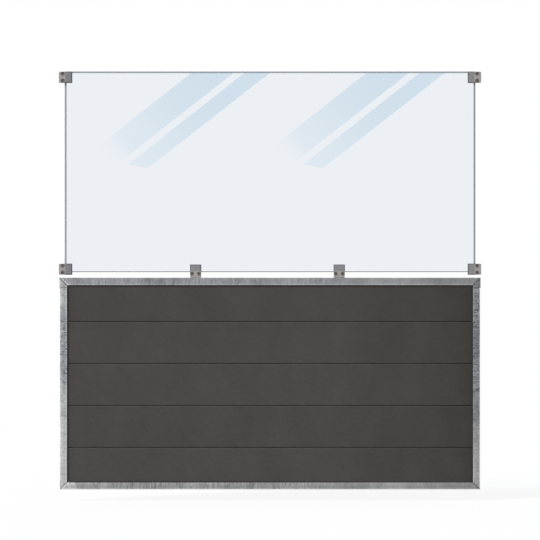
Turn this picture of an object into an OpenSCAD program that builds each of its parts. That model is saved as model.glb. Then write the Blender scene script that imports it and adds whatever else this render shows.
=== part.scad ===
// Fence panel: composite boards in a folded steel frame, with a glass pane clamped above them.
// Origin: bottom of the left stile's outer face, halfway through the depth. X runs to the right
// post, -Y is the front, Z is up. All sizes in millimetres.

/* [Frame] */
// Width over the two stiles
frame_w = 1800; // [1300:10:2000]
// Width of the channel as seen from the front
channel_face = 30; // [26:1:40]
// Width of the heavier channel on top, which stands out past the stiles at its corners
cap_face = 32.5; // [30:0.5:40]
// Length of the legs that the top channel sends down at its corners
leg_h = 43; // [41:1:80]
// Depth of the channel from front to back
channel_d = 30; // [28:1:40]
// Thickness of the folded sheet
sheet_t = 2; // [1.5:0.1:2.5]
// Outer radius of the folds
fold_r = 3; // [2.6:0.1:5]
// Width of the weld groove along each mitre and joint
mitre_groove_w = 2; // [1:0.1:3]

/* [Boards] */
// Number of boards, one above the other
board_count = 5; // [5:1:5]
// Height that each board covers
board_h = 180; // [140:1:200]
// Height cut off the foot of the lowest board, so that the boards fit the frame
low_board_trim = 3.5; // [0:0.5:6]
// Thickness of a board
board_t = 20; // [18:1:22]
// Thickness of the tongue
tongue_t = 6; // [4:0.1:7]
// Height of the tongue
tongue_h = 7; // [5:0.1:9]
// Bevel on the long edges, two of which make each joint line
board_bevel = 3; // [1:0.1:3.5]
// Wall between a board's faces and its hollows
board_wall = 4; // [3:0.1:5]
// Rib between two hollows
board_rib = 3.5; // [3:0.1:5]
// Number of hollows in a board
hollow_count = 5; // [3:1:6]
// Width of the rubber seal that lies along the channels, on both sides of the boards
seal_w = 6; // [4:0.5:10]
// Thickness of the seal where it meets the channels
seal_t = 2.5; // [1.5:0.1:3.5]

/* [Glass] */
// Height of the glass pane
glass_h = 861; // [600:1:900]
// Thickness of the glass pane
glass_t = 8; // [6:0.1:10]
// Gap from the glass edge to the foot of each clamp
glass_gap = 24; // [22:0.5:30]

/* [Clamps] */
// Reach of a clamp from its foot to its tip
clamp_l = 56; // [50:1:70]
// Width of a clamp along the glass edge
clamp_w = 47; // [46:1:60]
// Thickness of each jaw
jaw_t = 9; // [8.5:0.1:11]
// Thickness of each jaw at its tip
jaw_tip_t = 6.7; // [6.3:0.1:8]
// Bevel round the gripping half of a jaw
jaw_bevel = 3; // [2:0.1:3]
// Fine bevel on the other edges
fine_bevel = 0.8; // [0.4:0.1:1]
// Radius of the corners at the foot
foot_r = 4; // [2:0.5:6]
// Thickness of the foot, which is drilled for the fixing
foot_t = 6; // [5:0.5:8]
// Diameter of the fixing hole in the foot
foot_hole_d = 9; // [8.5:0.1:11]
// Width and depth of the pocket for the head of the fixing
pocket_w = 16; // [15.5:0.1:17]
// Thickness of the rubber on each face of the glass
rubber_t = 1.5; // [1:0.1:2]
// Thickness of the rubber under the edge of the glass
rubber_web_t = 2; // [1.5:0.1:3]
// How far the rubber stands out past the jaws
rubber_lip = 0.6; // [0.4:0.1:1.2]
// Height of the upper clamps' middle below the top of the glass
top_clamp_drop = 25.5; // [24.5:0.5:120]
// Height of the lower clamps' middle above the top rail
low_clamp_rise = 36.5; // [26:0.5:150]
// How far the side clamps stand out past the stiles, to the posts
clamp_overhang = 5; // [3:0.5:10]
// Distance of the left rail clamp from the left side of the frame
left_rail_clamp_in = 581; // [300:1:640]
// Distance of the right rail clamp from the right side of the frame
right_rail_clamp_in = 603; // [300:1:640]

/* [Screws] */
// Thread diameter of the jaw screws
screw_d = 8; // [6:0.5:8]
// Head diameter of the jaw screws
screw_head_d = 13; // [12:0.5:13.5]
// Head height of the jaw screws
screw_head_h = 3.5; // [3.5:0.1:5]
// Width of the hexagon socket across its flats
socket_w = 5; // [4:0.5:6]
// Depth of the hexagon socket
socket_deep = 2.5; // [2:0.5:3]
// Diameter of the recess for a head
recess_d = 15; // [14:0.5:15]
// Distance between the two screws of a clamp
screw_pitch = 30; // [29:0.5:36]
// Distance of the screws from the foot
screw_in = 17; // [15:0.5:17]
// Thread diameter of the foot screws
foot_screw_d = 6.3; // [5:0.1:6.5]
// Washer diameter of the foot screws
foot_washer_d = 14; // [12:0.5:15]
// Width of the foot screws' hexagon head across its flats
foot_hex_w = 10; // [8:1:11]
// Diameter of the holes for the post screws
post_hole_d = 9; // [7:0.5:11]
// Distance of the post holes from the top and the bottom of the frame
post_hole_in = 150; // [120:5:250]
// Diameter of the drain holes in the bottom rail
drain_d = 8; // [6:0.5:12]
// Distance of the outer drain holes from the posts
drain_in = 150; // [100:5:300]

/* [Hidden] */
$fn = 64;

// Amount by which a cutter runs past the face it cuts
over = 1;
// Gap between a board and the lips of the channel, on each side
board_slip = 0.5;
// Gap between the ends of a board and the webs of the stiles
board_end_gap = 5;
// Gap above the top board, so that the boards can be slid in
board_top_gap = 6.5;
// Clearance round a tongue, on each side and above it
tongue_slip_t = 0.3;
tongue_slip_h = 1;
// Radial clearance of a jaw screw in its thread and in the front jaw
thread_slip = 0.1;
shank_slip = 0.3;
// Depth of a screw head below the face of the jaw
head_sink = 2;
// How far a jaw screw's thread reaches past the glass slot, and the hole past the thread
thread_past = 3.5;
hole_past = 1.5;
// Height of the foot screw's washer and of its hexagon
foot_washer_h = 1.2;
foot_hex_h = 4;
// How far a foot screw reaches into the top board, and the radial room round it there
foot_screw_bite = 8;
bite_slip = 0.4;

frame_h = 2 * sheet_t + board_count * board_h - low_board_trim + board_top_gap;
half_d = channel_d / 2;
slot_half = board_t / 2 + board_slip;
fold_in_r = fold_r - sheet_t;
cap_proud = cap_face - channel_face;
glass_w = frame_w + 2 * clamp_overhang - 2 * glass_gap;
glass_z = frame_h + glass_gap;
grip_half = glass_t / 2 + rubber_t;
clamp_half = grip_half + jaw_t;
slot_u = glass_gap - rubber_web_t;
flat_l = screw_in + recess_d / 2 + jaw_bevel;
slope = atan((jaw_t - jaw_tip_t) / (clamp_l - flat_l));
head_seat = clamp_half - head_sink - screw_head_h;
top_clamp_z = glass_z + glass_h - top_clamp_drop;
low_clamp_z = frame_h + low_clamp_rise;
rail_clamp_x = [left_rail_clamp_in, frame_w - right_rail_clamp_in];
hollow_h = (board_h - tongue_h - tongue_slip_h - 2 * board_wall - (hollow_count - 1) * board_rib)
    / hollow_count;

// The section of a channel: depth along x, face width along y with the web at y = 0
module rounded_rect(x, y0, y1, r) {
    translate([-x, y0 + r]) square([2 * x, y1 - y0 - 2 * r]);
    translate([-x + r, y0]) square([2 * (x - r), y1 - y0]);
    for (sx = [-1, 1], y = [y0 + r, y1 - r])
        translate([sx * (x - r), y]) circle(r);
}

module channel_section(face) {
    difference() {
        rounded_rect(half_d, 0, face, fold_r);
        rounded_rect(half_d - sheet_t, sheet_t, face - sheet_t, fold_in_r);
        translate([-slot_half, face / 2]) square([2 * slot_half, face]);
    }
}

// The grooves that a weld leaves at the end of a channel, along a mitre or a square joint
module weld_grooves(turn) {
    for (y = [-half_d, half_d])
        translate([0, y, 0])
            rotate([0, -turn, 0])
                rotate([45, 0, 0])
                    cube([4 * cap_face, mitre_groove_w / sqrt(2), mitre_groove_w / sqrt(2)], center = true);
}

// A channel that starts at a mitre and ends, after its length, at a mitre or a square joint
module channel(len, face, ends_square) {
    difference() {
        intersection() {
            rotate([90, 0, 90]) linear_extrude(len) channel_section(face);
            translate([0, channel_d, 0])
                rotate([90, 0, 0])
                    linear_extrude(2 * channel_d)
                        polygon([[0, 0], [len, 0], [ends_square ? len : len - face, face], [face, face]]);
        }
        weld_grooves(45);
        translate([len, 0, 0]) mirror([1, 0, 0]) weld_grooves(ends_square ? 90 : 45);
    }
}

module bottom_rail() {
    color("silver") difference() {
        channel(frame_w, channel_face, false);
        for (x = [drain_in, frame_w / 2, frame_w - drain_in])
            translate([x, 0, -over]) cylinder(d = drain_d, h = sheet_t + 2 * over);
    }
}

module top_rail() {
    color("silver") difference() {
        translate([-cap_proud, 0, frame_h])
            mirror([0, 0, 1])
                channel(frame_w + 2 * cap_proud, cap_face, false);
        for (x = rail_clamp_x)
            translate([x, 0, frame_h - sheet_t - over])
                cylinder(d = foot_screw_d + 2 * thread_slip, h = sheet_t + 2 * over);
    }
}

module stile() {
    color("silver") difference() {
        mirror([1, 0, 0]) rotate([0, -90, 0]) channel(frame_h - leg_h, channel_face, true);
        for (z = [post_hole_in, frame_h - post_hole_in])
            translate([-over, 0, z]) rotate([0, 90, 0]) cylinder(d = post_hole_d, h = sheet_t + 2 * over);
    }
}

// The leg of the top channel at its corner, which ends on the stile
module corner_leg() {
    color("silver")
        translate([-cap_proud, 0, frame_h])
            rotate([0, 90, 0])
                channel(leg_h, cap_face, true);
}

// The section of a board: thickness along x, height along y
module board_section(tongue, trim) {
    difference() {
        union() {
            polygon([
                [-board_t / 2, board_bevel],
                [-board_t / 2 + board_bevel, 0],
                [board_t / 2 - board_bevel, 0],
                [board_t / 2, board_bevel],
                [board_t / 2, board_h - board_bevel],
                [board_t / 2 - board_bevel, board_h],
                [-board_t / 2 + board_bevel, board_h],
                [-board_t / 2, board_h - board_bevel],
            ]);
            if (tongue)
                translate([-tongue_t / 2, board_h - over]) square([tongue_t, tongue_h + over]);
        }
        translate([-board_t, -over]) square([2 * board_t, trim + over]);
        translate([-tongue_t / 2 - tongue_slip_t, -over])
            square([tongue_t + 2 * tongue_slip_t, tongue_h + tongue_slip_h + over]);
        for (i = [0 : hollow_count - 1])
            translate([
                board_wall - board_t / 2,
                tongue_h + tongue_slip_h + board_wall + i * (hollow_h + board_rib),
            ])
                square([board_t - 2 * board_wall, hollow_h]);
    }
}

// Board number i, counted from 1 at the bottom
module board(i) {
    top = i == board_count;
    color("dimgray") difference() {
        translate([sheet_t + board_end_gap, 0, sheet_t - low_board_trim + (i - 1) * board_h])
            rotate([90, 0, 90])
                linear_extrude(frame_w - 2 * sheet_t - 2 * board_end_gap)
                    board_section(!top, i == 1 ? low_board_trim : 0);
        if (top)
            for (x = rail_clamp_x)
                translate([x, 0, frame_h - sheet_t - board_top_gap - board_wall - over])
                    cylinder(d = foot_screw_d + 2 * bite_slip, h = board_wall + 2 * over);
    }
}

// A flat ring against the inner edges of the channels, so wide and from depth y0 to depth y1
module seal_ring(w, y0, y1) {
    z = channel_face;
    h = frame_h - channel_face - cap_face;
    translate([0, y1, 0]) rotate([90, 0, 0]) linear_extrude(y1 - y0) difference() {
        translate([channel_face, z]) square([frame_w - 2 * channel_face, h]);
        translate([channel_face + w, z + w]) square([frame_w - 2 * channel_face - 2 * w, h - 2 * w]);
    }
}

// The seals on both sides of the boards, each thick along the channels with a thinner lip
module board_seal() {
    color("black")
        for (side = [0, 1])
            mirror([0, side, 0]) {
                seal_ring(seal_w, -board_t / 2 - seal_t / 2, -board_t / 2);
                seal_ring(seal_w / 2, -board_t / 2 - seal_t, -board_t / 2);
            }
}

// The pane, with its edges polished half round
module glass_pane() {
    r = glass_t / 2;
    flat_w = glass_w - glass_t;
    flat_h = glass_h - glass_t;
    color("azure", 0.5) translate([frame_w / 2, 0, glass_z + glass_h / 2]) {
        cube([flat_w, glass_t, flat_h], center = true);
        for (s = [-1, 1]) {
            translate([0, 0, s * flat_h / 2]) rotate([0, 90, 0]) cylinder(r = r, h = flat_w, center = true);
            translate([s * flat_w / 2, 0, 0]) cylinder(r = r, h = flat_h, center = true);
            for (t = [-1, 1])
                translate([s * flat_w / 2, 0, t * flat_h / 2]) sphere(r);
        }
    }
}

// Clamp parts: x runs from the foot to the tip, z along the glass edge, -y is the front

// The outline of a clamp as seen from the front, rounded at the foot
module clamp_outline() {
    translate([foot_r, -clamp_w / 2]) square([clamp_l - foot_r, clamp_w]);
    translate([0, foot_r - clamp_w / 2]) square([clamp_l, clamp_w - 2 * foot_r]);
    for (s = [-1, 1])
        translate([foot_r, s * (clamp_w / 2 - foot_r)]) circle(foot_r);
}

// The outline made solid from depth y0 to depth y1
module clamp_slab(y0, y1) {
    translate([0, y1, 0]) rotate([90, 0, 0]) linear_extrude(y1 - y0) clamp_outline();
}

// A jaw seen from the side: flat over the screws, then falling to the tip
module jaw_side() {
    tip = clamp_half - jaw_t + jaw_tip_t;
    tip_start = tip + jaw_bevel * tan(slope);
    linear_extrude(clamp_w + 2 * over, center = true)
        polygon([
            [-over, -grip_half],
            [-over, -clamp_half],
            [flat_l, -clamp_half],
            [clamp_l - jaw_bevel, -tip_start],
            [clamp_l, -tip_start + jaw_bevel],
            [clamp_l, -grip_half],
        ]);
}

// The plain front jaw, on the front side of the glass
module jaw_plate() {
    difference() {
        intersection() {
            clamp_slab(-clamp_half, -grip_half);
            jaw_side();
        }
        for (s = [-1, 1]) {
            translate([flat_l, -clamp_half, s * clamp_w / 2])
                rotate([0, 0, slope])
                    rotate([45, 0, 0])
                        translate([0, -jaw_bevel / sqrt(2), -jaw_bevel / sqrt(2)])
                            cube([clamp_l, jaw_bevel * sqrt(2), jaw_bevel * sqrt(2)]);
            translate([foot_r, -clamp_half, s * clamp_w / 2])
                rotate([45, 0, 0])
                    cube([2 * clamp_l, fine_bevel * sqrt(2), fine_bevel * sqrt(2)], center = true);
        }
        translate([0, -clamp_half, 0])
            rotate([0, 0, 45])
                cube([fine_bevel * sqrt(2), fine_bevel * sqrt(2), clamp_w], center = true);
    }
}

// A cylinder along y from depth y0 to depth y1, at the place of screw s
module screw_bore(s, d, y0, y1) {
    translate([screw_in, y1, s * screw_pitch / 2]) rotate([90, 0, 0]) cylinder(d = d, h = y1 - y0);
}

module front_jaw() {
    color("gray") difference() {
        jaw_plate();
        for (s = [-1, 1]) {
            screw_bore(s, recess_d, -clamp_half - over, -head_seat);
            screw_bore(s, screw_d + 2 * shank_slip, -clamp_half, -grip_half + over);
        }
        translate([foot_t, -pocket_w / 2, -pocket_w / 2])
            cube([slot_u - foot_t, pocket_w / 2, pocket_w]);
    }
}

module back_jaw() {
    color("gray") difference() {
        union() {
            mirror([0, 1, 0]) jaw_plate();
            intersection() {
                clamp_slab(-grip_half, clamp_half - jaw_t / 2);
                translate([0, -clamp_l, -clamp_w]) cube([slot_u, 2 * clamp_l, 2 * clamp_w]);
            }
        }
        for (s = [-1, 1])
            screw_bore(s, screw_d + 2 * thread_slip, -grip_half - over, grip_half + thread_past + hole_past);
        translate([foot_t, -grip_half - over, -pocket_w / 2])
            cube([slot_u - foot_t + over, grip_half + over + pocket_w / 2, pocket_w]);
        translate([-over, 0, 0]) rotate([0, 90, 0]) cylinder(d = foot_hole_d, h = foot_t + 2 * over);
    }
}

module gasket() {
    color("black") difference() {
        translate([slot_u, -grip_half, -clamp_w / 2 - rubber_lip])
            cube([clamp_l + rubber_lip - slot_u, 2 * grip_half, clamp_w + 2 * rubber_lip]);
        translate([glass_gap, -glass_t / 2, -clamp_w])
            cube([clamp_l, glass_t, 2 * clamp_w]);
    }
}

// Jaw screw s, with its head in the recess of the front jaw
module jaw_screw(s) {
    color("saddlebrown") difference() {
        union() {
            screw_bore(s, screw_head_d, -head_seat - screw_head_h, -head_seat);
            screw_bore(s, screw_d, -head_seat - screw_head_h / 2, grip_half + thread_past);
        }
        translate([screw_in, -head_seat - screw_head_h + socket_deep, s * screw_pitch / 2])
            rotate([90, 0, 0])
                cylinder(d = socket_w / cos(30), h = socket_deep + over, $fn = 6);
    }
}

module foot_screw() {
    color("silver") translate([foot_t, 0, 0]) rotate([0, 90, 0]) {
        cylinder(d = foot_washer_d, h = foot_washer_h);
        cylinder(d = foot_hex_w / cos(30), h = foot_washer_h + foot_hex_h, $fn = 6);
        translate([0, 0, -foot_t - sheet_t - board_top_gap - foot_screw_bite])
            cylinder(d = foot_screw_d, h = foot_t + sheet_t + board_top_gap + foot_screw_bite + foot_washer_h / 2);
    }
}

// The places of a clamp: its foot on the left post, the right post or the top rail
module at_left(z) {
    translate([-clamp_overhang, 0, z]) children();
}

module at_right(z) {
    translate([frame_w + clamp_overhang, 0, z]) rotate([0, 180, 0]) children();
}

module at_rail(x) {
    translate([x, 0, frame_h]) rotate([0, -90, 0]) children();
}

top_rail();
bottom_rail();
stile();  // left_stile
translate([frame_w, 0, 0]) mirror([1, 0, 0]) stile();  // right_stile
corner_leg();  // left_corner_leg
translate([frame_w, 0, 0]) mirror([1, 0, 0]) corner_leg();  // right_corner_leg
board(1);  // board_1
board(2);  // board_2
board(3);  // board_3
board(4);  // board_4
board(5);  // board_5
board_seal();
glass_pane();
at_left(top_clamp_z) back_jaw();  // left_top_back_jaw
at_left(top_clamp_z) front_jaw();  // left_top_front_jaw
at_left(top_clamp_z) gasket();  // left_top_gasket
at_left(top_clamp_z) jaw_screw(1);  // left_top_screw_1
at_left(top_clamp_z) jaw_screw(-1);  // left_top_screw_2
at_left(low_clamp_z) back_jaw();  // left_bottom_back_jaw
at_left(low_clamp_z) front_jaw();  // left_bottom_front_jaw
at_left(low_clamp_z) gasket();  // left_bottom_gasket
at_left(low_clamp_z) jaw_screw(1);  // left_bottom_screw_1
at_left(low_clamp_z) jaw_screw(-1);  // left_bottom_screw_2
at_right(top_clamp_z) back_jaw();  // right_top_back_jaw
at_right(top_clamp_z) front_jaw();  // right_top_front_jaw
at_right(top_clamp_z) gasket();  // right_top_gasket
at_right(top_clamp_z) jaw_screw(-1);  // right_top_screw_1
at_right(top_clamp_z) jaw_screw(1);  // right_top_screw_2
at_right(low_clamp_z) back_jaw();  // right_bottom_back_jaw
at_right(low_clamp_z) front_jaw();  // right_bottom_front_jaw
at_right(low_clamp_z) gasket();  // right_bottom_gasket
at_right(low_clamp_z) jaw_screw(-1);  // right_bottom_screw_1
at_right(low_clamp_z) jaw_screw(1);  // right_bottom_screw_2
at_rail(rail_clamp_x[0]) back_jaw();  // rail_left_back_jaw
at_rail(rail_clamp_x[0]) front_jaw();  // rail_left_front_jaw
at_rail(rail_clamp_x[0]) gasket();  // rail_left_gasket
at_rail(rail_clamp_x[0]) jaw_screw(1);  // rail_left_screw_1
at_rail(rail_clamp_x[0]) jaw_screw(-1);  // rail_left_screw_2
at_rail(rail_clamp_x[0]) foot_screw();  // rail_left_foot_screw
at_rail(rail_clamp_x[1]) back_jaw();  // rail_right_back_jaw
at_rail(rail_clamp_x[1]) front_jaw();  // rail_right_front_jaw
at_rail(rail_clamp_x[1]) gasket();  // rail_right_gasket
at_rail(rail_clamp_x[1]) jaw_screw(1);  // rail_right_screw_1
at_rail(rail_clamp_x[1]) jaw_screw(-1);  // rail_right_screw_2
at_rail(rail_clamp_x[1]) foot_screw();  // rail_right_foot_screw
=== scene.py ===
# Looks of the fence panel: the finish of its steel frame, composite boards, glass
# and cast clamps, and the welds that close the corners of the frame.
import math

import bpy
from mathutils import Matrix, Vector


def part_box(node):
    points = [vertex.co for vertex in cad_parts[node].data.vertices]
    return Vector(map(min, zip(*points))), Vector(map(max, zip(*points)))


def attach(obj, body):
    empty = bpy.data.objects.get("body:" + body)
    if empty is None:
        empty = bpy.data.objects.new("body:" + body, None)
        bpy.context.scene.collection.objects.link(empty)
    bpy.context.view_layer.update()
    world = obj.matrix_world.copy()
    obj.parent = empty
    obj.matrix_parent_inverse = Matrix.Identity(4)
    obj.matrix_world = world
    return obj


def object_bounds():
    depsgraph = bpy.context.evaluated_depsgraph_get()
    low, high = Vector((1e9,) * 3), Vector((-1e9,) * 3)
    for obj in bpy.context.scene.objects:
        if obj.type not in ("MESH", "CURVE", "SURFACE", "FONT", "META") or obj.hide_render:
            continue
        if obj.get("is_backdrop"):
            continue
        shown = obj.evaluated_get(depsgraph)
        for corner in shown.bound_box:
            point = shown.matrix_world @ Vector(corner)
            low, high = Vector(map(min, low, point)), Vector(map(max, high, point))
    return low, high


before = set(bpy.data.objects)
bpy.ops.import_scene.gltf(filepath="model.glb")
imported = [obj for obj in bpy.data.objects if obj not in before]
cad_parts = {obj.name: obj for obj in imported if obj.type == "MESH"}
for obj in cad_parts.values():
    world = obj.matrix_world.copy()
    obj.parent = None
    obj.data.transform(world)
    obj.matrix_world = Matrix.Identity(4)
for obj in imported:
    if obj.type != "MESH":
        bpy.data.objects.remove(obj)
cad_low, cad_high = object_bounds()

MM = 0.001
WHITE = (1, 1, 1, 1)
scene = bpy.context.scene


# ---------------------------------------------------------------- places from the frame

def middle_of(node):
    low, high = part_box(node)
    return (low + high) / 2


MIDDLE = (cad_low + cad_high) / 2
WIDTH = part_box("bottom_rail")[1].x
CHANNEL_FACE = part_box("bottom_rail")[1].z
BOARD_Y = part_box("board_1")[1].y

# The top channel stands out past the stiles, and its legs end on them
cap_low, cap_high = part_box("top_rail")
FRAME_TOP = cap_high.z
CAP_PROUD = -cap_low.x
JOINT_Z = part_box("left_corner_leg")[0].z

# The clamps are all alike, each with two screws in counterbores
jaw_low, jaw_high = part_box("left_top_front_jaw")
screw_1, screw_2 = middle_of("left_top_screw_1"), middle_of("left_top_screw_2")
CLAMP_L = jaw_high.x - jaw_low.x
SCREW_IN = screw_1.x - jaw_low.x
SCREW_PITCH = abs(screw_2.z - screw_1.z)
RECESS_R = 7.5 * MM


# ---------------------------------------------------------------- shader helper

class Value:
    """A socket that carries a value, with Python's arithmetic on it."""

    def __init__(self, sheet, socket):
        self.sheet = sheet
        self.socket = socket

    def maths(self, operation, *terms):
        """Adds a Math node, with the terms in their order."""
        return self.sheet.node(
            "ShaderNodeMath", {"operation": operation}, dict(enumerate(terms))
        )

    def __add__(self, other):
        return self.maths("ADD", self, other)

    def __sub__(self, other):
        return self.maths("SUBTRACT", self, other)

    def __rsub__(self, other):
        return self.maths("SUBTRACT", other, self)

    def __mul__(self, other):
        return self.maths("MULTIPLY", self, other)

    def __truediv__(self, other):
        return self.maths("DIVIDE", self, other)

    def __pow__(self, power):
        return self.maths("POWER", self, power)

    def __abs__(self):
        return self.maths("ABSOLUTE", self)

    __radd__ = __add__
    __rmul__ = __mul__

    def root(self):
        return self.maths("SQRT", self)

    def cosine(self):
        return self.maths("COSINE", self)

    def least(self, other):
        """The lesser of two values."""
        return self.maths("MINIMUM", self, other)

    def rise(self, start, end):
        """0 up to start, 1 from end on, and smooth between them. With start past end, it falls."""
        limits = {"From Min": start, "From Max": end}
        if start > end:
            limits = {"From Min": end, "From Max": start, "To Min": 1.0, "To Max": 0.0}
        return self.sheet.node(
            "ShaderNodeMapRange",
            {"interpolation_type": "SMOOTHSTEP"},
            {"Value": self, **limits},
        )


class Sheet:
    """A tree of shader nodes, for a finish or the sky."""

    def __init__(self, owner):
        owner.use_nodes = True
        self.tree = owner.node_tree
        self.tree.nodes.clear()

    def node(self, kind, settings=None, sockets=None, out=0):
        """Adds a node, sets its settings and then its sockets, and gives one of its outputs."""
        made = self.tree.nodes.new(kind)
        for name, setting in (settings or {}).items():
            if name == "stops":
                self.set_stops(made.color_ramp, setting)
            else:
                setattr(made, name, setting)
        for name, value in (sockets or {}).items():
            if isinstance(value, Value):
                self.tree.links.new(value.socket, made.inputs[name])
            else:
                made.inputs[name].default_value = value
        return Value(self, made.outputs[out])

    @staticmethod
    def set_stops(ramp, stops):
        while len(ramp.elements) < len(stops):
            ramp.elements.new(0.5)
        for element, (position, colour) in zip(ramp.elements, stops):
            element.position = position
            element.color = colour

    def parts(self, vector):
        """The three parts of a vector."""
        return [self.node("ShaderNodeSeparateXYZ", sockets={0: vector}, out=i) for i in range(3)]

    def seen(self):
        """1 where it is seen straight, mirrored or through glass, and 0 where it only lights."""
        kinds = ("Is Camera Ray", "Is Glossy Ray", "Is Transmission Ray")
        straight, mirrored, through = (self.node("ShaderNodeLightPath", out=kind) for kind in kinds)
        return (straight + mirrored + through).least(1)

    def blend(self, first, second, share):
        """Mixes two shaders."""
        return self.node("ShaderNodeMixShader", sockets={0: share, 1: first, 2: second})

    def close(self, shader, kind="ShaderNodeOutputMaterial"):
        made = self.tree.nodes.new(kind)
        self.tree.links.new(shader.socket, made.inputs["Surface"])


class Finish(Sheet):
    """A material that reads the place on the object, in metres."""

    def __init__(self, name):
        self.material = bpy.data.materials.new(name)
        super().__init__(self.material)
        self.place = self.node("ShaderNodeTexCoord", out="Object")
        self.x, self.y, self.z = self.parts(self.place)

    def normal(self):
        """The three parts of the way that the surface faces."""
        return self.parts(self.node("ShaderNodeNewGeometry", out="Normal"))

    def noise(self, clouds, detail=3.0, rough=0.5, seed=0.0):
        """Cloudy noise from about -0.5 to 0.5, with so many clouds to the metre each way."""
        stretched = self.node(
            "ShaderNodeVectorMath", {"operation": "MULTIPLY"}, {0: self.place, 1: clouds}
        )
        sockets = {
            "Vector": stretched, "W": seed, "Scale": 1.0, "Detail": detail, "Roughness": rough,
        }
        return (self.node("ShaderNodeTexNoise", {"noise_dimensions": "4D"}, sockets) - 0.5) * 2

    def cells(self, per_metre):
        """A random value from -0.5 to 0.5 in each cell of a crystal pattern."""
        sockets = {"Vector": self.place, "Scale": per_metre}
        colour = self.node("ShaderNodeTexVoronoi", sockets=sockets, out="Color")
        return self.node("ShaderNodeSeparateColor", sockets={0: colour}) - 0.5

    def mix(self, first, second, share, way="MIX"):
        """Mixes two colours, or multiplies them where way is MULTIPLY."""
        return self.node(
            "ShaderNodeMix",
            {"data_type": "RGBA", "blend_type": way},
            {0: share, 6: first, 7: second},
            out=2,
        )

    def along(self, distance, stops):
        """A colour that changes along a distance: each stop is a distance and its colour."""
        reach = stops[-1][0]
        shares = [(place / reach, colour) for place, colour in stops]
        return self.node("ShaderNodeValToRGB", {"stops": shares}, {0: distance / reach})

    def strength_along(self, distance, stops):
        """A factor from 0 to 2 that changes along a distance."""
        return self.along(distance, [(place, grey(value / 2)) for place, value in stops]) * 2

    def shade(self, colour, factor):
        """A colour made lighter or darker by a factor."""
        if not isinstance(colour, Value):
            colour = colour[:3]
        return self.node(
            "ShaderNodeVectorMath", {"operation": "SCALE"}, {0: colour, "Scale": factor}
        )

    def bump(self, height, depth):
        return self.node("ShaderNodeBump", sockets={"Height": height, "Distance": depth})

    def surface(self, **sockets):
        named = {name.replace("_", " "): value for name, value in sockets.items()}
        return self.node("ShaderNodeBsdfPrincipled", sockets=named)

    def all_over(self, **sockets):
        """The finished material, with the same surface all over."""
        self.close(self.surface(**sockets))
        return self.material


def grey(level):
    return (level, level, level, 1.0)


def rgb(red, green, blue):
    """A colour given as it looks on a screen, 0 to 255, as the plain light values."""

    def plain(level):
        level /= 255
        return level / 12.92 if level <= 0.04045 else ((level + 0.055) / 1.055) ** 2.4

    return (plain(red), plain(green), plain(blue), 1.0)


# ---------------------------------------------------------------- camera and light

# The eye is far off in front, just above the frame, and its lens is measured in millimetres
EYE_BACK = 12.87
EYE_HEIGHT = 0.94
LENS = 200
SENSOR_WIDTH = 36

# The sky's plain light, how much more comes from behind, and the share of that on the floor
SKY_LIGHT = 0.45
SKY_BEHIND = 0.5
BEHIND_TO_FLOOR = 0.4

SUN_WAY = Vector((-1.4, -1.0, 1.4))
SUN_SOFTNESS = math.radians(12)
SUN_LIGHT = 0.55

FLOOR_SIZE = 80.0
FLOOR_DROP = 0.05
FLOOR_BOUNCE = 0.35
FLOOR_SHADOW = 0.08
FLOOR_LIGHT = SKY_LIGHT + SKY_BEHIND * BEHIND_TO_FLOOR + SUN_LIGHT * abs(SUN_WAY.z / SUN_WAY.y)


def add_camera():
    data = bpy.data.cameras.new("camera")
    data.lens = LENS
    data.sensor_width = SENSOR_WIDTH
    camera = bpy.data.objects.new("camera", data)
    camera.location = (MIDDLE.x, -EYE_BACK, EYE_HEIGHT)
    camera.rotation_euler = (math.radians(90), 0, 0)
    scene.collection.objects.link(camera)
    scene.camera = camera


def add_sky():
    """White where it is seen, and softer where it lights the object, most of all its back."""
    scene.world = bpy.data.worlds.new("sky")
    sky = Sheet(scene.world)
    way = sky.node("ShaderNodeTexCoord", out="Generated")
    behind = sky.parts(way)[1].rise(0.0, 0.5)
    light = SKY_LIGHT + SKY_BEHIND * behind
    strength = light + (1 - light) * sky.seen()
    glow = sky.node("ShaderNodeBackground", sockets={"Color": WHITE, "Strength": strength})
    sky.close(glow, "ShaderNodeOutputWorld")


def add_sun():
    """Sunlight from the side that SUN_WAY points to, which lights the front by SUN_LIGHT."""
    way = SUN_WAY.normalized()
    data = bpy.data.lights.new("key", "SUN")
    data.angle = SUN_SOFTNESS
    data.energy = SUN_LIGHT * math.pi / abs(way.y)
    lamp = bpy.data.objects.new("key", data)
    lamp.rotation_euler = way.to_track_quat("Z", "Y").to_euler()
    scene.collection.objects.link(lamp)


def flat_mesh(name, corners):
    mesh = bpy.data.meshes.new(name)
    mesh.from_pydata(corners, [], [range(len(corners))])
    piece = bpy.data.objects.new(name, mesh)
    scene.collection.objects.link(piece)
    return piece


def add_floor():
    """White in full light, with a faint shadow where the object keeps the light off."""
    half = FLOOR_SIZE / 2
    corners = [
        (MIDDLE.x + sx * half, sy * half, cad_low.z - FLOOR_DROP)
        for sx, sy in ((-1, -1), (1, -1), (1, 1), (-1, 1))
    ]
    floor = flat_mesh("floor", corners)
    finish = Finish("floor")
    bounce = finish.node("ShaderNodeBsdfDiffuse", sockets={"Color": grey(FLOOR_BOUNCE)})
    shaded = finish.node("ShaderNodeBsdfDiffuse", sockets={"Color": grey(FLOOR_SHADOW)})
    glow = finish.node("ShaderNodeEmission", sockets={"Strength": 1 - FLOOR_SHADOW * FLOOR_LIGHT})
    white = finish.node("ShaderNodeAddShader", sockets={0: shaded, 1: glow})
    finish.close(finish.blend(bounce, white, finish.seen()))
    floor.data.materials.append(finish.material)
    floor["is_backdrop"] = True


add_camera()
add_sky()
add_floor()
add_sun()


# ---------------------------------------------------------------- dark flags that the glass mirrors

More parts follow.
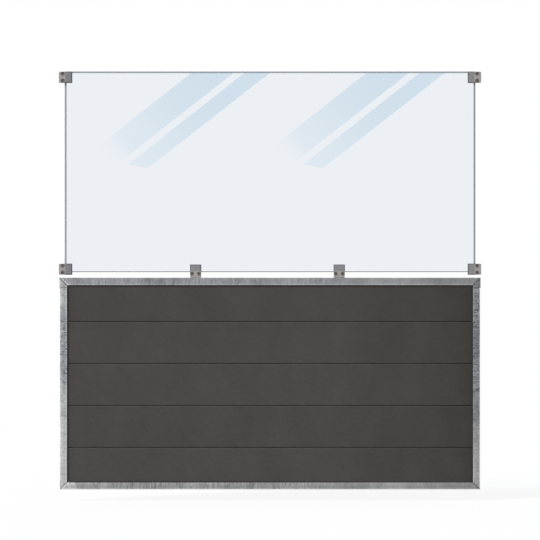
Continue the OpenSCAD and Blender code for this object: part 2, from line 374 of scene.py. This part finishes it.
FLAG_Y = -6.0
FLAG_REACH = 1 + abs(FLAG_Y) / EYE_BACK
FLAG_STEP = 0.751
FLAG_COLOUR = (0.0, 0.38, 0.62, 1)

# Each flag's corners as they show in the pane, from its upper end down, and how much its colour
# thins out. The stretches where it thins and where it fades away are shares of its length.
FLAGS = {
    "wide_flag": {
        "corners": ((0.634, 1.842), (0.818, 1.842), (0.206, 1.364), (0.153, 1.462)),
        "thin": 0.64,
        "thins_over": (0.15, 1.05),
        "fades_over": (0.77, 0.99),
    },
    "slim_flag": {
        "corners": ((0.862, 1.842), (0.972, 1.842), (0.374, 1.375), (0.293, 1.394)),
        "thin": 0.60,
        "thins_over": (0.35, 1.15),
        "fades_over": None,
    },
}


def in_mirror(x, z):
    """The place of a flag's corner that shows in the pane at (x, z)."""
    return Vector((
        MIDDLE.x + (x - MIDDLE.x) * FLAG_REACH,
        FLAG_Y,
        EYE_HEIGHT + (z - EYE_HEIGHT) * FLAG_REACH,
    ))


def add_flag(name, shift, corners, thin, thins_over, fades_over):
    """A blue flag beside the lights, drawn where the pane mirrors it and moved right by shift."""
    places = [in_mirror(x + shift, z) for x, z in corners]
    flag = flat_mesh(name, places)
    finish = Finish(name)
    top, end = (places[0] + places[1]) / 2, (places[2] + places[3]) / 2
    way = (end - top) / (end - top).length_squared
    run = (finish.x - top.x) * way.x + (finish.z - top.z) * way.z
    depth = 1 - thin * run.rise(*thins_over)
    if fades_over:
        start, gone = fades_over
        depth = depth * run.rise(gone, start)
    colour = finish.mix(WHITE, FLAG_COLOUR, depth)
    finish.close(finish.node("ShaderNodeEmission", sockets={"Color": colour}))
    flag.data.materials.append(finish.material)
    flag.visible_camera = False
    flag.visible_diffuse = False
    flag.visible_transmission = False
    flag.visible_shadow = False
    flag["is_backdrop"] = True


for number, shift in enumerate((0, FLAG_STEP), start=1):
    for flag, form in FLAGS.items():
        add_flag(f"{flag}_{number}", shift, **form)


# ---------------------------------------------------------------- marks and seams

GROOVE_W = 2 * MM

# The painted shade of the joint under a leg is fainter than a mitre's, as if it were this much
# further off
JOINT_FAINTER = 1.1 * MM

# Marks of the zinc and of one board, as scars() takes them
SCARS = {
    "left_stile": [
        (677, 15, 3, 20, 0.50), (669, 21, 3, 7, 0.45), (690, 19, 12, 5, -0.22),
        (669, 9, 3, 4, -0.35), (664, 20, 3, 4, -0.35), (571, 12, 4, 4, -0.35),
        (24, 0, 22, 3.2, -0.72), (26, 11, 18, 3.5, -0.08),
    ],
    "right_stile": [
        (770, 19, 5, 4, -0.40), (760, 22, 4, 4, -0.35), (744, 14, 4, 4, -0.35),
        (670, 14, 4, 4, -0.35), (642, 14, 4, 4, -0.35), (512, 15, 18, 24, 0.30),
        (477, 14, 16, 12, -0.20),
    ],
    "board_2": [(141, 312, 4, 3, -0.35)],
}


def scars(finish, name, along, across, seed):
    """The change in lightness from small marks with ragged outlines.

    Each mark is how far along and across it is, its half length and half width, all in
    millimetres, and how much lighter or darker it is.
    """
    ragged = finish.noise((160, 160, 160), detail=2, seed=seed)
    total = 0
    for at, aside, long, wide, change in SCARS.get(name, []):
        reach = ((along - at) / long) ** 2 + ((across - aside) / wide) ** 2
        total = total + change * (reach + 0.7 * ragged).rise(1.5, 0.4)
    return total


def is_upright(bar):
    return bar.endswith(("stile", "leg"))


def from_seam(finish, bar):
    """How far a place on a bar is from the nearest mitre or square joint at the bar's ends."""
    if bar in ("top_rail", "left_corner_leg", "right_corner_leg"):
        side = (finish.x + CAP_PROUD).least(WIDTH + CAP_PROUD - finish.x)
        end = FRAME_TOP - finish.z
    else:
        side = finish.x.least(WIDTH - finish.x)
        end = finish.z
    off = abs(side - end) / math.sqrt(2)
    if is_upright(bar):
        off = off.least(abs(finish.z - JOINT_Z) + JOINT_FAINTER)
    return off


# ---------------------------------------------------------------- finish of the frame

SEAM_DARK = 0.78
BOTTOM_SEAM_DARK = 0.45
BAND_START = 0.22
BAND_PITCH = 0.40
PALEST_ZINC = rgb(206, 207, 208)[:3]


def galvanised(name, run, inward, tones, marks, painted_light, seed):
    """Hot-dip zinc on one bar of the frame.

    run and inward give the distance along the bar and in from its outer side. The other three
    are rows of distances in millimetres: tones along the bar, each with the zinc's grey level
    on screen and how much bluer it is, marks along it, each with how strongly the zinc is
    marked there, and profile across it, each with how much lighter it is painted there: painted
    highlights on the bends and lips, and painted shade where it is darker.
    """
    finish = Finish(name)
    run, inward = run(finish) / MM, inward(finish) / MM
    base = finish.along(
        run, [(at, rgb(level, level + blue / 2, level + blue)) for at, level, blue in tones]
    )
    # Painted highlights and shade lie across the bar's two faces and bends, and its web stays
    # plainer
    faced = abs(finish.normal()[1]).rise(0.15, 0.45)
    painted_bend_light = 1 + (finish.strength_along(inward, painted_light) - 1) * faced
    # Painted shade in the groove of each mitre and of each joint under a leg
    off = from_seam(finish, name)
    seam = off.rise(1.5 * GROOVE_W, 0.7 * GROOVE_W)
    patches = finish.noise((26, 26, 26), detail=2, seed=seed + 3)
    drift = finish.noise((5, 5, 5), detail=1, seed=seed + 1)
    spots = 0.25 - finish.noise((110, 110, 110), detail=2, seed=seed + 7).rise(0.0, 0.4)
    spangle = finish.cells(150)
    grain = finish.noise((500, 500, 500), detail=2, seed=seed + 5)
    # Streaks across the bar, and thin pale runs that the molten zinc left
    if is_upright(name):
        streaks = finish.noise((45, 45, 190), rough=0.6, seed=seed)
        runs = finish.noise((8, 8, 75), detail=1, seed=seed + 9).rise(0.25, 0.6)
        marking = 0.80 * streaks + 0.22 * runs + 0.45 * spots
        broad = 0.13 * drift
    else:
        streaks = finish.noise((190, 25, 25), rough=0.6, seed=seed)
        runs = finish.noise((75, 8, 8), detail=1, seed=seed + 9).rise(0.25, 0.6)
        marking = 0.80 * streaks + 0.22 * runs + 0.20 * spots
        # The rolled sheet is paler in broad bands, and a painted glint lies beside the left-hand
        # mitre
        bands = ((finish.x - BAND_START) * (2 * math.pi / BAND_PITCH)).cosine()
        painted_mitre_glint = off.rise(7 * MM, 5 * MM) * off.rise(1.5 * MM, 2.5 * MM)
        left_half = finish.x.rise(1.0, 0.8)
        broad = 0.08 * drift + 0.08 * bands + 0.90 * painted_mitre_glint * left_half
    seam_dark = BOTTOM_SEAM_DARK if name == "bottom_rail" else SEAM_DARK
    level = (
        1
        + marking * finish.strength_along(run, marks) * (0.45 + 0.55 * faced)
        + broad
        + scars(finish, name, run, inward, seed + 15) * faced
        + 0.35 * patches
        + 0.15 * spangle
        + 0.14 * grain
        - seam_dark * seam
    )
    zinc = finish.node(
        "ShaderNodeVectorMath",
        {"operation": "MINIMUM"},
        {0: finish.shade(base, level * painted_bend_light), 1: PALEST_ZINC},
    )
    return finish.all_over(
        Base_Color=zinc,
        Metallic=0.4,
        Roughness=0.46 + 0.12 * patches + 0.05 * grain,
        Normal=finish.bump(0.4 * streaks + 0.3 * spangle + 0.6 * grain, 0.15 * MM),
    )


# ---------------------------------------------------------------- finish of the boards

# How far from the right-hand end the boards begin to turn brown or dark, and are fully so
BROWNING = (0.64, 0.35)
DUSK = (0.26, 0.03)
BROWN = (0.86, 0.855, 0.785, 1)


def composite(name, low, high, tone, seed):
    """Wood-fibre composite, brushed along the board that lies between the heights low and high.

    tone is how light this board is beside the others.
    """
    finish = Finish(name)
    from_right = WIDTH - finish.x
    from_joint = (finish.z - low).least(high - finish.z)
    brushing = finish.noise((6, 300, 420), detail=4, rough=0.6, seed=seed)
    fibres = finish.noise((60, 600, 900), detail=3, rough=0.6, seed=seed + 2)
    mottle = finish.noise((65, 65, 80), detail=3, rough=0.65, seed=seed + 8)
    clouds = finish.noise((7, 7, 4), detail=2, seed=seed + 4)
    flecks = finish.noise((160, 500, 700), detail=1, seed=seed + 6).rise(0.35, 0.6)
    base = finish.mix(rgb(65, 61, 59), rgb(67, 63, 62), clouds.rise(-0.5, 0.5))
    # The right-hand end has weathered browner and darker
    weathered = finish.mix(WHITE, BROWN, from_right.rise(*BROWNING))
    base = finish.mix(base, weathered, 1.0, "MULTIPLY")
    dusk = from_right.rise(*DUSK)
    # Painted shade in the joints and beside the channels, and a painted highlight on each board's
    # upper arris
    painted_groove_shade = abs(finish.y).rise(BOARD_Y - 0.3 * MM, BOARD_Y - 1.5 * MM)
    painted_channel_shade = (finish.x.least(from_right) - CHANNEL_FACE).rise(45 * MM, 5 * MM)
    painted_arris_highlight = (high - finish.z).rise(7.5 * MM, 5 * MM) * (1 - painted_groove_shade)
    arris_highlight_strength = 0.10 + 0.25 * finish.noise((7, 7, 7), seed=seed + 10)
    smudges = finish.noise((35, 35, 90), detail=2, seed=seed + 12).rise(0.05, 0.45)
    near_joint = from_joint.rise(22 * MM, 8 * MM)
    level = (
        1
        + scars(finish, name, finish.x / MM, finish.z / MM, seed + 14)
        + 0.14 * brushing
        + 0.12 * fibres
        + 0.20 * mottle
        + 0.13 * clouds
        + 0.35 * flecks
        + painted_arris_highlight * arris_highlight_strength
        - 0.12 * near_joint * smudges
        - 0.20 * painted_groove_shade
        - 0.08 * painted_channel_shade
        - 0.26 * dusk
    )
    return finish.all_over(
        Base_Color=finish.shade(base, level * tone),
        Roughness=0.72 + 0.10 * brushing,
        Specular_IOR_Level=0.25,
        Normal=finish.bump(0.6 * brushing + 0.5 * fibres, 0.12 * MM),
    )


# ---------------------------------------------------------------- finishes of the clamps and rubber

def cast_zinc(name, along, across, seed):
    """Cast and blasted zinc on one clamp, with the pressed gripping half darker than the foot.

    along gives the distance from the foot, and across the distance from the clamp's middle line.
    """
    finish = Finish(name)
    reach, aside = along(finish), across(finish)
    sand = finish.noise((700, 700, 700), detail=3, rough=0.6, seed=seed)
    blotches = finish.noise((130, 130, 130), detail=3, rough=0.6, seed=seed + 3)
    grip = reach.rise(0.46 * CLAMP_L, 0.56 * CLAMP_L)
    base = finish.mix(rgb(151, 147, 145), rgb(123, 122, 126), grip)
    # Painted shade on the bevel round the grip, most of all on the sides that the sun lights
    right, back, up = finish.normal()
    painted_bevel_shade = abs(back).rise(0.95, 0.80) * grip
    sunny = (up - right).rise(0.1, 0.4)
    # A brown stain round each screw, with painted shade of its counterbore
    from_screw = ((reach - SCREW_IN) ** 2 + (abs(aside) - SCREW_PITCH / 2) ** 2).root()
    stain_and_recess_shade = from_screw.rise(1.7 * RECESS_R, 0.8 * RECESS_R)
    base = finish.mix(base, rgb(92, 84, 80), stain_and_recess_shade * (0.40 + 0.5 * blotches))
    level = 1 + 0.22 * sand + 0.30 * blotches - (0.32 + 0.22 * sunny) * painted_bevel_shade
    return finish.all_over(
        Base_Color=finish.shade(base, level),
        Metallic=0.35,
        Roughness=0.55 + 0.12 * blotches,
        Normal=finish.bump(sand + 0.5 * blotches, 0.20 * MM),
    )


def rubber():
    """Black rubber that has gone a little grey with dust."""
    finish = Finish("rubber")
    dust = finish.noise((900, 900, 900), detail=2)
    wear = finish.noise((60, 60, 60), detail=2, seed=2)
    # The seal is darker along its right-hand length
    right_seal = WIDTH - CHANNEL_FACE
    darker_right = finish.x.rise(right_seal - 20 * MM, right_seal - 7 * MM)
    level = 1 + 0.25 * dust + 0.25 * wear - 0.35 * darker_right
    return finish.all_over(
        Base_Color=finish.shade(rgb(46, 46, 48), level),
        Roughness=0.62 + 0.15 * wear,
        Specular_IOR_Level=0.3,
        Normal=finish.bump(dust, 0.05 * MM),
    )


def browned_steel():
    """Socket screws whose black finish has begun to brown."""
    finish = Finish("screw")
    rust = finish.noise((260, 260, 260), detail=4, rough=0.6).rise(-0.3, 0.35)
    grain = finish.noise((1500, 1500, 1500), detail=2, seed=4)
    base = finish.mix(rgb(102, 97, 95), rgb(114, 102, 96), rust)
    return finish.all_over(
        Base_Color=finish.shade(base, 1 + 0.2 * grain),
        Metallic=0.5,
        Roughness=0.5 + 0.2 * rust,
        Normal=finish.bump(grain, 0.04 * MM),
    )


def plated_steel():
    """The bright zinc of the screws that hold the rail clamps down."""
    finish = Finish("foot_screw")
    cloud = finish.noise((180, 180, 180), detail=3)
    turned = finish.noise((200, 200, 4000), detail=2, seed=3)
    return finish.all_over(
        Base_Color=finish.shade(rgb(176, 178, 180), 1 + 0.15 * cloud),
        Metallic=0.9,
        Roughness=0.32 + 0.10 * cloud,
        Normal=finish.bump(turned, 0.02 * MM),
    )


# ---------------------------------------------------------------- finish of the glass

CLEAR_GLASS = (0.892, 0.9145, 0.943, 1)
GLASS_IOR = 2.65

# How wide the band of painted edge reflection along each edge of the pane is
LEFT_RIM, RIGHT_RIM = 8.1 * MM, 7.5 * MM
LOWER_RIM, UPPER_RIM = 3.2 * MM, 7.0 * MM


def glass():
    """Toughened float glass: it mirrors on the side it is met from, and its edges carry a slate
    band of painted reflection from the polished edge.
    """
    finish = Finish("pane")
    low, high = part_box("glass_pane")
    # How far in from the nearest edge, as a share of that edge's band of painted reflection
    rim = (
        ((finish.x - low.x) / LEFT_RIM)
        .least((high.x - finish.x) / RIGHT_RIM)
        .least((finish.z - low.z) / LOWER_RIM)
        .least((high.z - finish.z) / UPPER_RIM)
    )
    clear = finish.node("ShaderNodeBsdfTransparent", sockets={0: CLEAR_GLASS})
    gloss = finish.node("ShaderNodeBsdfGlossy", sockets={"Color": WHITE, "Roughness": 0.0})
    mirror = finish.node("ShaderNodeFresnel", sockets={"IOR": GLASS_IOR})
    front = 1 - finish.node("ShaderNodeNewGeometry", out="Backfacing")
    body = finish.blend(clear, gloss, mirror * front)
    haze = finish.noise((14, 14, 14), detail=2)
    # Painted reflection of the polished edge, in slate grey
    painted_edge_band = finish.surface(
        Base_Color=finish.shade(rgb(138, 147, 154), 1 + 0.05 * haze),
        Roughness=0.25,
        Specular_IOR_Level=0.5,
    )
    finish.close(finish.blend(body, painted_edge_band, rim.rise(1.09, 0.91)))
    return finish.material


# ---------------------------------------------------------------- each piece in its finish

def dress(material, *nodes):
    for node in nodes:
        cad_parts[node].material_slots[0].material = material


# The bars of the frame, with what galvanised() takes for each of them; the rows across each bar are
# its painted highlights and shade
BARS = {
    "top_rail": {
        "run": lambda at: at.x,
        "inward": lambda at: FRAME_TOP - at.z,
        "tones": (
            (20, 148, 4), (60, 134, 4), (300, 137, 4), (600, 132, 4), (820, 137, 3),
            (1060, 133, 3), (1500, 138, 2), (1740, 123, 1),
        ),
        "marks": ((0, 1.0), (1080, 0.9), (1180, 0.5), (1800, 0.4)),
        "painted_light": ((0, 1.0), (24, 0.98), (27, 1.25), (32, 1.4)),
    },
    "bottom_rail": {
        "run": lambda at: at.x,
        "inward": lambda at: at.z,
        "tones": ((62, 184, 0), (78, 141, 0), (1060, 131, 0), (1500, 133, 0), (1740, 124, 0)),
        "marks": ((0, 0.3), (80, 1.2), (1080, 1.2), (1180, 0.55), (1800, 0.4)),
        "painted_light": (
            (0, 1.9), (3.5, 1.7), (5.5, 1.01), (20, 1.06), (23, 1.24), (26, 1.24), (28, 0.65),
        ),
    },
    "left_stile": {
        "run": lambda at: at.z,
        "inward": lambda at: at.x,
        "tones": (
            (40, 174, 0), (80, 179, 0), (180, 189, 0), (250, 180, 1), (300, 170, 2), (345, 171, 3),
            (430, 162, 4), (490, 139, 6), (560, 135, 6), (720, 135, 6), (760, 147, 5),
            (810, 163, 2),
        ),
        "marks": ((130, 0.3), (460, 1.1), (560, 1.8), (660, 1.8), (760, 1.0)),
        "painted_light": ((4, 1.12), (17, 0.90), (25.2, 0.92), (26.6, 1.8), (30, 2.1)),
    },
    "right_stile": {
        "run": lambda at: at.z,
        "inward": lambda at: WIDTH - at.x,
        "tones": (
            (70, 151, 0), (240, 134, 0), (320, 116, 4), (570, 108, 7), (650, 97, 8), (740, 112, 5),
        ),
        "marks": ((130, 0.6), (300, 1.0), (460, 1.7), (830, 1.9)),
        "painted_light": ((2.5, 2.1), (4.5, 0.94), (22, 0.98), (30, 1.1)),
    },
    "left_corner_leg": {
        "run": lambda at: at.z,
        "inward": lambda at: at.x + CAP_PROUD,
        "tones": ((864, 155, 3), (907, 158, 3)),
        "marks": ((864, 0.7), (907, 0.7)),
        "painted_light": ((6, 1.2), (12, 1.0), (22, 0.88), (26, 1.0), (29, 1.5), (32, 1.7)),
    },
    "right_corner_leg": {
        "run": lambda at: at.z,
        "inward": lambda at: WIDTH + CAP_PROUD - at.x,
        "tones": ((864, 110, 5), (907, 114, 5)),
        "marks": ((864, 0.8), (907, 0.8)),
        "painted_light": ((3, 1.3), (6, 0.92), (12, 1.06), (32, 0.95)),
    },
}
for seed, (bar, recipe) in enumerate(BARS.items()):
    dress(galvanised(bar, **recipe, seed=seed * 11.0), bar)

# How light each board is beside the others, from the lowest board up
BOARD_TONES = {"board_1": 1.025, "board_2": 0.98, "board_3": 1.02, "board_4": 1.0, "board_5": 0.95}
boards = list(BOARD_TONES)
for seed, (board, above) in enumerate(zip(boards, boards[1:] + [None])):
    low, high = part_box(board)
    face_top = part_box(above)[0].z if above else high.z
    dress(composite(board, low.z, face_top, BOARD_TONES[board], seed * 13.0), board)

dress(glass(), "glass_pane")

CLAMPS = ("left_top", "left_bottom", "right_top", "right_bottom", "rail_left", "rail_right")
rubber_finish, screw_finish = rubber(), browned_steel()
for seed, clamp in enumerate(CLAMPS):
    middle = middle_of(f"{clamp}_back_jaw")
    if clamp.startswith("left"):
        along, across = (lambda at: at.x - cad_low.x), (lambda at: at.z - middle.z)
    elif clamp.startswith("right"):
        along, across = (lambda at: cad_high.x - at.x), (lambda at: at.z - middle.z)
    else:
        along, across = (lambda at: at.z - FRAME_TOP), (lambda at: at.x - middle.x)
    cast = cast_zinc(f"casting_{clamp}", along, across, seed * 7.0)
    dress(cast, f"{clamp}_back_jaw", f"{clamp}_front_jaw")
    dress(rubber_finish, f"{clamp}_gasket")
    dress(screw_finish, f"{clamp}_screw_1", f"{clamp}_screw_2")
dress(plated_steel(), "rail_left_foot_screw", "rail_right_foot_screw")
dress(rubber_finish, "board_seal")


# ---------------------------------------------------------------- welds in the corners

WELD_INSET = 1.5 * MM
WELD_SUNK = 1.1 * MM
RIPPLES = {"Pitch": 1.3 * MM, "Radius": 0.8 * MM, "Least size": 0.85, "Greatest size": 1.1}


def weld_finish():
    finish = Finish("weld")
    soot = finish.noise((300, 300, 300), detail=3).rise(-0.5, 0.5)
    return finish.all_over(
        Base_Color=finish.mix(rgb(104, 104, 108), rgb(150, 150, 152), soot),
        Metallic=0.5,
        Roughness=0.4 + 0.2 * soot,
    )


def weld_tree(material):
    """A weld: rounded ripples in a row along each edge of the mesh that it is given."""
    tree = bpy.data.node_groups.new("weld", "GeometryNodeTree")
    new_socket = tree.interface.new_socket
    new_socket("Seams", in_out="INPUT", socket_type="NodeSocketGeometry")
    sizes = {
        name: new_socket(name, in_out="INPUT", socket_type="NodeSocketFloat").identifier
        for name in RIPPLES
    }
    new_socket("Welds", in_out="OUTPUT", socket_type="NodeSocketGeometry")

    def node(kind, sockets=None, **settings):
        made = tree.nodes.new(kind)
        for name, setting in settings.items():
            setattr(made, name, setting)
        for name, value in (sockets or {}).items():
            if isinstance(value, bpy.types.NodeSocket):
                tree.links.new(value, made.inputs[name])
            else:
                made.inputs[name].default_value = value
        return made

    given = node("NodeGroupInput").outputs
    curve = node("GeometryNodeMeshToCurve", {"Mesh": given["Seams"]}).outputs[0]
    row = node(
        "GeometryNodeCurveToPoints", {"Curve": curve, "Length": given["Pitch"]}, mode="LENGTH"
    ).outputs
    ripple = node(
        "GeometryNodeMeshUVSphere",
        {"Segments": 10, "Rings": 6, "Radius": given["Radius"]},
    ).outputs[0]
    size = node(
        "FunctionNodeRandomValue",
        {2: given["Least size"], 3: given["Greatest size"], "Seed": 5},
        data_type="FLOAT",
    ).outputs[1]
    rows = node(
        "GeometryNodeInstanceOnPoints",
        {"Points": row["Points"], "Instance": ripple, "Rotation": row["Rotation"], "Scale": size},
    ).outputs[0]
    plain = node("GeometryNodeRealizeInstances", {0: rows}).outputs[0]
    smooth = node("GeometryNodeSetShadeSmooth", {"Geometry": plain}).outputs[0]
    done = node("GeometryNodeSetMaterial", {"Geometry": smooth, "Material": material}).outputs[0]
    node("NodeGroupOutput", {"Welds": done})
    return tree, sizes


def seam_lines():
    """The middle lines of the welds: in each mitre and each joint under a leg, on both faces."""
    inner = CHANNEL_FACE - WELD_INSET
    sunk = cap_high.y - WELD_SUNK
    lines = [
        ((WELD_INSET, WELD_INSET), (inner, inner)),
        ((WELD_INSET - CAP_PROUD, FRAME_TOP - WELD_INSET), (inner, cap_low.z + WELD_INSET)),
        ((WELD_INSET, JOINT_Z), (inner, JOINT_Z)),
    ]
    points = [
        (WIDTH - x if mirrored else x, y, z)
        for line in lines
        for mirrored in (False, True)
        for y in (-sunk, sunk)
        for x, z in line
    ]
    return points, [(i, i + 1) for i in range(0, len(points), 2)]


def add_welds():
    points, edges = seam_lines()
    seams = bpy.data.meshes.new("corner_welds")
    seams.from_pydata(points, edges, [])
    welds = bpy.data.objects.new("corner_welds", seams)
    scene.collection.objects.link(welds)
    tree, sizes = weld_tree(weld_finish())
    modifier = welds.modifiers.new("weld", "NODES")
    modifier.node_group = tree
    for name, value in RIPPLES.items():
        modifier[sizes[name]] = value
    evaluated = welds.evaluated_get(bpy.context.evaluated_depsgraph_get())
    plain = bpy.data.meshes.new_from_object(evaluated)
    welds.modifiers.remove(modifier)
    welds.data = plain
    plain.name = "corner_welds"
    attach(welds, "root")


add_welds()

# ---------------------------------------------------------------- colour and sizes

scene.view_settings.view_transform = "Standard"

low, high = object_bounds()
